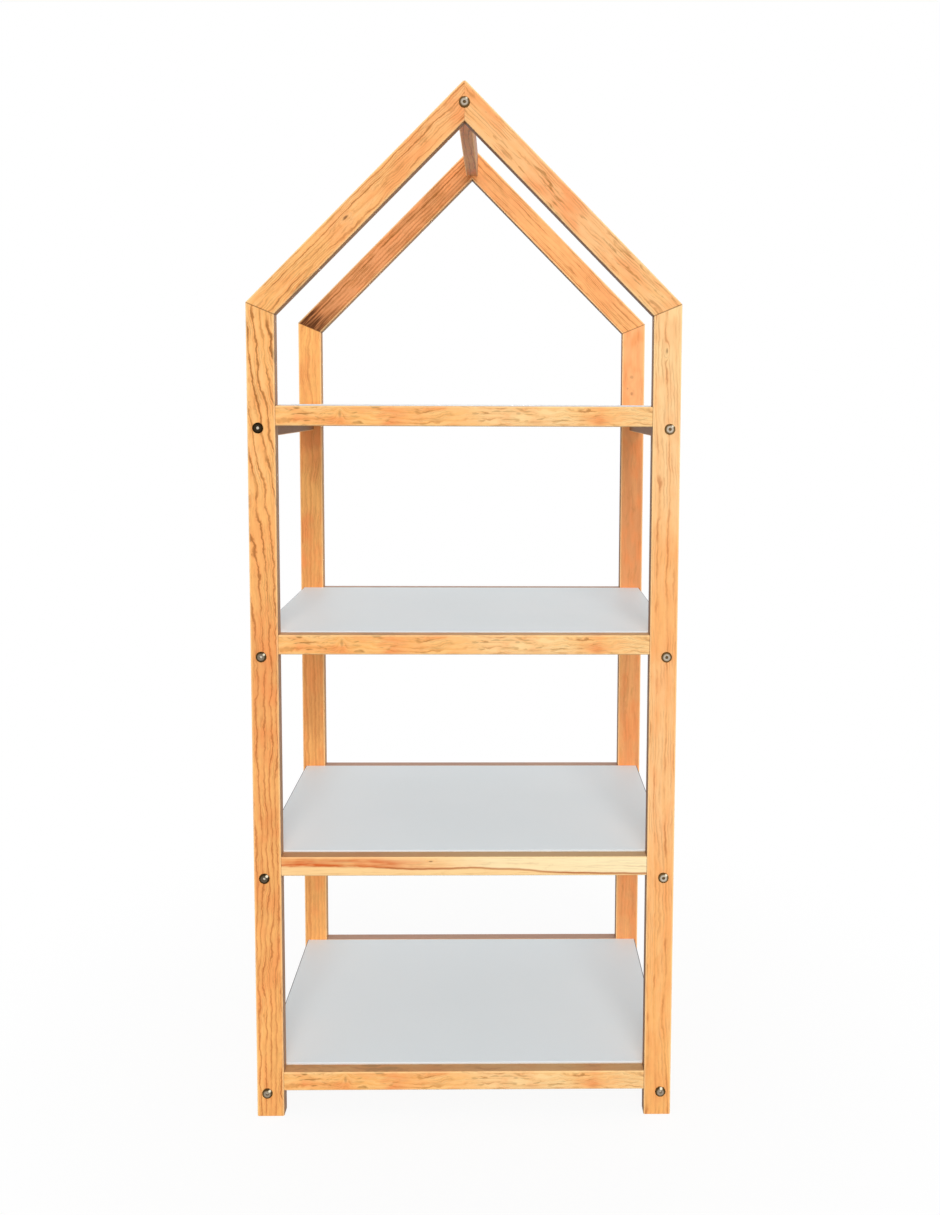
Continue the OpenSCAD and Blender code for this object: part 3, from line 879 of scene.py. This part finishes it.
def frame_bores(sizes, places, end):
    """Cutting form of the bolt holes through one house frame."""
    low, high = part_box(f"{END_NAMES[end]}_left_post")
    hole = sizes.bolt_hole / 2
    start, stop = low.y - PAST, high.y + PAST
    bore = turned([(0, start), (hole, start), (hole, stop), (0, stop)], 32)
    return gather([(bore, Matrix.Translation((x, 0, z))) for x, z in places])


def eave_mitre(sizes, side):
    """Outer corner of the eave mitre, and the direction square to its cut, upwards."""
    low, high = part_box("front_left_post")
    fall = (high.x - low.x) * math.tan((math.pi / 2 - sizes.roof_slope) / 2)
    outer = Vector((side * -low.x, 0, high.z))
    inner = Vector((side * -high.x, 0, high.z - fall))
    normal = (inner - outer).normalized().cross(Vector((0, 1, 0)))
    return outer, normal if normal.z > 0 else -normal


class BOOKSHELF_OT_posts(bpy.types.Operator):
    """Makes the four posts, mitred at their heads, with the bolts' holes"""

    bl_idname = "bookshelf.posts"
    bl_label = "Posts"

    def execute(self, context):
        sizes, finishes = settings(context)
        for end, side, name in corners("post"):
            centre, size = middle(name)
            outer, upwards = eave_mitre(sizes, side)
            bm = stick(size, sizes.arris)
            bmesh.ops.translate(bm, vec=centre, verts=bm.verts)
            saw(bm, outer, upwards)
            soften(bm, sizes.cut_edge)
            bolts = [level_bolt(sizes, side, level) for level in LEVELS]
            varnished(
                name, bm, finishes, centre, (0, 0, 0), size, FIGURES[name],
                [(outer, upwards, EAVE_STAIN)], frame_bores(sizes, bolts, end),
            )
        return {"FINISHED"}


class BOOKSHELF_OT_rafters(bpy.types.Operator):
    """Makes the four rafters, mitred at the eaves and the apex, with the rounded tip"""

    bl_idname = "bookshelf.rafters"
    bl_label = "Rafters"

    def execute(self, context):
        sizes, finishes = settings(context)
        width = middle("front_left_post")[1].x
        ridge = middle("ridge_beam")[0]
        slope = sizes.roof_slope
        for end, side, name in corners("rafter"):
            node_centre, node_size = middle(name)
            outer, upwards = eave_mitre(sizes, side)
            apex = outer + Vector((-outer.x, 0, abs(outer.x) * math.tan(slope)))
            length = (apex - outer).length
            inward = Vector((-side * math.sin(slope), 0, -math.cos(slope)))
            centre = (outer + apex) / 2 + inward * width / 2
            centre.y = node_centre.y
            turn = Euler((0, -side * (math.pi / 2 - slope), 0))
            size = (width, node_size.y, length)
            bm = stick((width, node_size.y, length + 3 * width), sizes.arris)
            put(bm, centre, turn)
            saw(bm, outer, -upwards)
            saw(bm, (0, 0, 0), (-side, 0, 0))
            tip = apex - Vector((0, 0, sizes.tip / math.cos(slope)))
            for step in range(TIP_CUTS):
                lean = (math.pi / 2 - slope) * (step + 0.5) / TIP_CUTS
                out = Vector((side * math.sin(lean), 0, math.cos(lean)))
                saw(bm, tip + out * sizes.tip, out)
            soften(bm, sizes.cut_edge)
            varnished(
                name, bm, finishes, centre, turn, size, FIGURES[name],
                [(outer, upwards, EAVE_STAIN), ((0, 0, 0), Vector((1, 0, 0)), APEX_STAIN)],
                frame_bores(sizes, [(ridge.x, ridge.z)], end),
            )
        return {"FINISHED"}


class BOOKSHELF_OT_cross_rails(bpy.types.Operator):
    """Makes the front and back rails between the posts"""

    bl_idname = "bookshelf.cross_rails"
    bl_label = "Front and Back Rails"

    def execute(self, context):
        sizes, finishes = settings(context)
        turn = Euler((0, math.pi / 2, 0))
        for end, end_name in END_NAMES.items():
            for level in LEVELS:
                name = f"{end_name}_rail_{level}"
                centre, size = middle(name)
                size = (size.z, size.y, size.x)
                bm = stick(size, sizes.arris)
                soften(bm, sizes.cut_edge)
                put(bm, centre, turn)
                if end == BACK:
                    figure = {**FIGURES["back_rail"], "seed": 50.0 + 3.3 * level}
                else:
                    figure = FIGURES["streaked_rail" if level == 2 else "flecked_rail"]
                varnished(name, bm, finishes, centre, turn, size, figure)
        return {"FINISHED"}


def rail_bores(sizes, centre, size, x, z, side):
    """Cutting form of a rail's two bolt holes and two barrel nut holes."""
    hole = sizes.bolt_hole / 2
    nut = sizes.nut / 2 + NUT_PLAY
    rim = sizes.hole_edge
    depth = sizes.bolt_length - middle("front_left_post")[1].y + PAST
    deep = size.x / 2 + NUT_PAST_MIDDLE
    along = turned([(0, -PAST), (hole, -PAST), (hole, depth), (0, depth)], 24)
    mouth = [(0, -PAST), (nut + rim + PAST, -PAST), (nut, rim)]
    across = turned([*mouth, (nut, deep), (0, deep)], 40)
    forms = []
    for end in (FRONT, BACK):
        face_y = centre.y + end * size.y / 2
        inward = Matrix.Rotation(0 if end == FRONT else math.pi, 4, "Z")
        forms.append((along, Matrix.Translation((x, face_y, z)) @ inward))
        from_side = Matrix.Rotation(side * -math.pi / 2 + math.pi, 4, "Z")
        nut_y = face_y - end * sizes.nut_reach
        face_x = centre.x - side * size.x / 2
        forms.append((across, Matrix.Translation((face_x, nut_y, z)) @ from_side))
    return gather(forms)


class BOOKSHELF_OT_side_rails(bpy.types.Operator):
    """Makes the side rails under the boards and the ridge beam, with their nut holes"""

    bl_idname = "bookshelf.side_rails"
    bl_label = "Side Rails and Ridge Beam"

    def execute(self, context):
        sizes, finishes = settings(context)
        rails = [
            (f"{side_name}_side_rail_{level}", "side_rail", *level_bolt(sizes, side, level), side)
            for side, side_name in SIDE_NAMES.items()
            for level in LEVELS
        ]
        ridge = middle("ridge_beam")[0]
        rails.append(("ridge_beam", "ridge_beam", ridge.x, ridge.z, LEFT))
        turn = Euler((-math.pi / 2, 0, 0))
        for number, (name, kind, x, z, side) in enumerate(rails):
            centre, size = middle(name)
            bores = rail_bores(sizes, centre, size, x, z, side)
            size = (size.x, size.z, size.y)
            bm = stick(size, sizes.arris)
            soften(bm, sizes.cut_edge)
            put(bm, centre, turn)
            figure = {**FIGURES[kind], "seed": 70 + 2.9 * number, "inner": -side}
            varnished(name, bm, finishes, centre, turn, size, figure, bores=bores)
        return {"FINISHED"}


class BOOKSHELF_OT_boards(bpy.types.Operator):
    """Makes the four white boards, each on its own body"""

    bl_idname = "bookshelf.boards"
    bl_label = "Boards"

    def execute(self, context):
        sizes, finishes = settings(context)
        white = melamine(finishes)
        for level in LEVELS:
            name = f"shelf_board_{level}"
            centre, size = middle(name)
            bm = stick(size, sizes.board_corner)
            soften(bm, sizes.board_edge, 3)
            bmesh.ops.translate(bm, vec=centre, verts=bm.verts)
            dress(solid(f"{name}_white", bm), white, "white_board", name, name)
        return {"FINISHED"}


def painted_bolt(sizes, model, tightened, face, rim, angle):
    """A copy of the bolt, turned as it was tightened, with its own painted reflection and painted
    glint.
    """
    bolt = model.copy()
    bmesh.ops.transform(bolt, matrix=tightened, verts=bolt.verts)
    head_reflection = bolt.verts.layers.float_vector[HEAD_REFLECTION]
    rubbed = bolt.verts.layers.float.new(PAINTED_GLINT)
    reach = GLINT_PLACE * sizes.bolt_head / 2
    angle = math.radians(angle)
    glint = Vector((reach * math.cos(angle), 0, reach * math.sin(angle)))
    for vert in bolt.verts:
        away, _, in_socket = vert[head_reflection]
        vert[head_reflection] = (away, face, in_socket)
        # The painted glint: a bright spot on the rim, at the given angle.
        off = Vector((vert.co.x, 0, vert.co.z)) - glint
        on_head = vert.co.y < 0 and not in_socket
        vert[rubbed] = rim * math.exp(-off.length_squared / (2 * GLINT_SPREAD**2)) * on_head
    return bolt


def bolt_model(sizes):
    """One bolt along +Y with the underside of its head at the origin."""
    edge = sizes.bolt_head / 2
    flat = sizes.bolt_head_flat / 2
    top = -sizes.bolt_head_height
    shank = sizes.bolt / 2
    root, point = THREAD_ROOT * shank, POINT_WIDTH * shank
    profile = [(0, top), (flat, top)]
    for step in range(1, HEAD_STEPS + 1):
        a = math.pi / 2 * step / HEAD_STEPS
        out = flat + (edge - flat) * math.sin(a)
        profile.append((out, (top + HEAD_RIM) * math.cos(a) - HEAD_RIM))
    profile += [(edge, -HEAD_EDGE), (edge - HEAD_EDGE, 0), (shank, 0), (shank, PLAIN_SHANK)]
    pitch = (sizes.bolt_length - PLAIN_SHANK - BOLT_POINT) / THREADS
    for turn in range(THREADS):
        profile.append((root, PLAIN_SHANK + (turn + 0.3) * pitch))
        profile.append((shank, PLAIN_SHANK + (turn + 0.8) * pitch))
    profile += [(point, sizes.bolt_length), (0, sizes.bolt_length)]
    piece = solid("bolt_model", turned(profile, 40))
    across = sizes.socket / 2 / math.cos(math.pi / 6)
    floor = top + sizes.socket_depth
    flare = across * SOCKET_MOUTH + PAST
    mouth = [(0, top - PAST), (flare, top - PAST), (across, top + SOCKET_LIP)]
    drill(piece, turned([*mouth, (across, floor - SOCKET_DISH), (0, floor)], 6))
    bm = bmesh.new()
    bm.from_mesh(piece.data)
    head_reflection = bm.verts.layers.float_vector.new(HEAD_REFLECTION)
    for vert in bm.verts:
        away = math.hypot(vert.co.x, vert.co.z)
        in_socket = away < across * WITHIN_SOCKET and vert.co.y > top + SOCKET_TOP
        vert[head_reflection] = (away / edge, 0.0, float(in_socket))
    discard(piece)
    return bm


class BOOKSHELF_OT_bolts(bpy.types.Operator):
    """Makes the broad-headed bolts of both house frames, each turned as it was tightened"""

    bl_idname = "bookshelf.bolts"
    bl_label = "Bolts"

    def execute(self, context):
        sizes, finishes = settings(context)
        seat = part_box("front_left_post")[0].y
        metal = plating(finishes)
        model = bolt_model(sizes)
        places = [
            (*level_bolt(sizes, side, level), PAINTED_REFLECTIONS[side_name][level - 1])
            for side, side_name in SIDE_NAMES.items()
            for level in LEVELS
        ]
        ridge = middle("ridge_beam")[0]
        places.append((ridge.x, ridge.z, PAINTED_REFLECTIONS["ridge"]))
        for end, end_name in END_NAMES.items():
            turn = Matrix.Rotation(0 if end == FRONT else math.pi, 4, "Z")
            driven = turn @ Matrix.Translation((0, seat, 0))
            forms = []
            for number, (x, z, head_reflection) in enumerate(places):
                tightened = Matrix.Rotation(TIGHTENED[0] + TIGHTENED[1] * number, 4, "Y")
                bolt = painted_bolt(sizes, model, tightened, *head_reflection)
                forms.append((bolt, Matrix.Translation((x, 0, z)) @ driven))
            piece = solid(f"{end_name}_bolts_steel", gather(forms))
            for bolt, _ in forms:
                bolt.free()
            dress(piece, metal, "bolt_steel", HOUSE, f"{end_name}_bolts")
        model.free()
        return {"FINISHED"}


def finish_nodes(names, material):
    """Gives CAD nodes, whose shapes stay, their finish."""
    for name in names:
        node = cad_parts[name]
        node.data.materials.clear()
        node.data.materials.append(material)


class BOOKSHELF_OT_barrel_nuts(bpy.types.Operator):
    """Finishes the slotted barrel nuts in the side rails and the ridge beam"""

    bl_idname = "bookshelf.barrel_nuts"
    bl_label = "Barrel Nuts"

    def execute(self, context):
        names = [f"{place}_barrel_nuts" for place in ("left", "right", "ridge")]
        finish_nodes(names, zinc(context.scene.bookshelf_finishes))
        return {"FINISHED"}


class BOOKSHELF_OT_dowels(bpy.types.Operator):
    """Finishes the dowels in the rails' ends and across the mitres"""

    bl_idname = "bookshelf.dowels"
    bl_label = "Dowels"

    def execute(self, context):
        names = [f"{end}_{kind}_dowels" for end in END_NAMES.values() for kind in ("rail", "mitre")]
        finish_nodes(names, raw_beech(context.scene.bookshelf_finishes))
        return {"FINISHED"}


def seen(tree):
    """1 for what the camera sees straight, in a mirror or through glass."""
    path = tree.nodes.new("ShaderNodeLightPath")
    share = path.outputs["Is Camera Ray"]
    for name in ("Is Glossy Ray", "Is Transmission Ray"):
        node = tree.nodes.new("ShaderNodeMath")
        node.operation = "MAXIMUM"
        tree.links.new(share, node.inputs[0])
        tree.links.new(path.outputs[name], node.inputs[1])
        share = node.outputs[0]
    return share


def glow(tree, kind, strength):
    """Plain white light from a shader node."""
    node = tree.nodes.new(kind)
    node.inputs["Color"].default_value = (1, 1, 1, 1)
    node.inputs["Strength"].default_value = strength
    return node.outputs[0]


def mixed(tree, share, first, second):
    """Two shaders mixed by a share of the second."""
    node = tree.nodes.new("ShaderNodeMixShader")
    for socket, source in zip(node.inputs, (share, first, second)):
        tree.links.new(source, socket)
    return node.outputs[0]


def lay_floor():
    """A pale floor that shows white and keeps the shelf's shadow."""
    radius, sides = 6, 64
    grey, paper = 0.2, 0.95
    near, far, white_near = 0.3, 1.0, 0.9
    bm = bmesh.new()
    bmesh.ops.create_circle(bm, cap_ends=True, segments=sides, radius=radius)
    floor = solid("floor", bm)
    r = Recipe("floor")
    r.surface((grey, grey, grey), 1.0)
    r.shader.inputs["Specular IOR Level"].default_value = 0.0
    away = r.vector("LENGTH", r.place(), None)[1]
    white_share = r.ease(away, near, far, white_near, 1.0)
    bright = r.add("ShaderNodeBsdfDiffuse")
    bright.inputs["Color"].default_value = (paper, paper, paper, 1)
    white = glow(r.tree, "ShaderNodeEmission", 1.0)
    shadowed = mixed(r.tree, white_share, bright.outputs[0], white)
    both = mixed(r.tree, seen(r.tree), r.shader.outputs[0], shadowed)
    r.put(r.output.inputs["Surface"], both)
    floor.data.materials.append(r.material)


def surround(context):
    """White where it is seen, and a soft light level everywhere else."""
    world = bpy.data.worlds.new("surroundings")
    world.use_nodes = True
    context.scene.world = world
    tree = world.node_tree
    tree.nodes.clear()
    soft = glow(tree, "ShaderNodeBackground", 0.52)
    white = glow(tree, "ShaderNodeBackground", 1.0)
    output = tree.nodes.new("ShaderNodeOutputWorld")
    tree.links.new(mixed(tree, seen(tree), soft, white), output.inputs["Surface"])


def hang_lamp(name, height, swing, spread, strength, shadows=True):
    """A soft, even light, unseen in the metal. The angles are in degrees, swing from -Y."""
    data = bpy.data.lights.new(name, "SUN")
    data.angle = math.radians(spread)
    data.energy = strength
    data.use_shadow = shadows
    lamp = bpy.data.objects.new(name, data)
    lamp.rotation_euler = (math.radians(90 - height), 0, math.radians(swing))
    lamp.location = lamp.rotation_euler.to_matrix() @ Vector((0, 0, 4))
    lamp.visible_glossy = False
    bpy.context.scene.collection.objects.link(lamp)


def place_camera(context):
    """The camera, a little above the middle of the shelf and looking down slightly."""
    image_w, image_h = 940, 1215
    centre_x, centre_y, focal = 514.6, 481.6, 1058
    place = (0.05024, -1.66646, 1.03531)
    aside, down, roll = -0.0133, 0.0753, 0.0037
    data = bpy.data.cameras.new("camera")
    data.sensor_fit = "VERTICAL"
    data.sensor_height = 36
    data.lens = focal * data.sensor_height / image_h
    data.shift_x = (image_w / 2 - centre_x) / image_h
    data.shift_y = (centre_y - image_h / 2) / image_h
    camera = bpy.data.objects.new("camera", data)
    camera.matrix_world = (
        Matrix.Translation(place)
        @ Matrix.Rotation(aside, 4, "Z")
        @ Matrix.Rotation(math.pi / 2 - down, 4, "X")
        @ Matrix.Rotation(roll, 4, "Z")
    )
    context.scene.collection.objects.link(camera)
    context.scene.camera = camera


class BOOKSHELF_OT_stage(bpy.types.Operator):
    """Sets the floor, the plain light, the white surroundings and the camera"""

    bl_idname = "bookshelf.stage"
    bl_label = "Stage"

    def execute(self, context):
        lay_floor()
        surround(context)
        hang_lamp("key", 25, 4, 26, 1.36)
        hang_lamp("fill", 25, 4, 26, 1.0, shadows=False)
        hang_lamp("back", 2, 180, 20, 1.6, shadows=False)
        hang_lamp("right side", 0, 90, 1, 1.3)
        hang_lamp("left side", 0, -90, 1, 1.3)
        place_camera(context)
        context.scene.view_settings.view_transform = "Standard"
        return {"FINISHED"}


class BOOKSHELF_PT_pieces(bpy.types.Panel):
    """Lists the bookshelf's pieces, sizes and colours"""

    bl_idname = "BOOKSHELF_PT_pieces"
    bl_label = "House Bookshelf"
    bl_space_type = "VIEW_3D"
    bl_region_type = "UI"
    bl_category = "Bookshelf"

    def draw(self, context):
        for operator in OPERATORS:
            self.layout.operator(operator.bl_idname)
        for group in settings(context):
            box = self.layout.box()
            for key in type(group).__annotations__:
                box.prop(group, key)


OPERATORS = (
    BOOKSHELF_OT_stage,
    BOOKSHELF_OT_posts,
    BOOKSHELF_OT_rafters,
    BOOKSHELF_OT_cross_rails,
    BOOKSHELF_OT_side_rails,
    BOOKSHELF_OT_boards,
    BOOKSHELF_OT_bolts,
    BOOKSHELF_OT_barrel_nuts,
    BOOKSHELF_OT_dowels,
)
CLASSES = (BookshelfSizes, BookshelfFinishes, *OPERATORS, BOOKSHELF_PT_pieces)


def register():
    for item in CLASSES:
        bpy.utils.register_class(item)
    bpy.types.Scene.bookshelf_sizes = bpy.props.PointerProperty(type=BookshelfSizes)
    bpy.types.Scene.bookshelf_finishes = bpy.props.PointerProperty(type=BookshelfFinishes)


def unregister():
    del bpy.types.Scene.bookshelf_finishes
    del bpy.types.Scene.bookshelf_sizes
    for item in reversed(CLASSES):
        bpy.utils.unregister_class(item)


def main():
    register()
    bpy.ops.bookshelf.stage()
    bpy.ops.bookshelf.posts()
    bpy.ops.bookshelf.rafters()
    bpy.ops.bookshelf.cross_rails()
    bpy.ops.bookshelf.side_rails()
    bpy.ops.bookshelf.boards()
    bpy.ops.bookshelf.bolts()
    bpy.ops.bookshelf.barrel_nuts()
    bpy.ops.bookshelf.dowels()


if __name__ == "__main__":
    main()
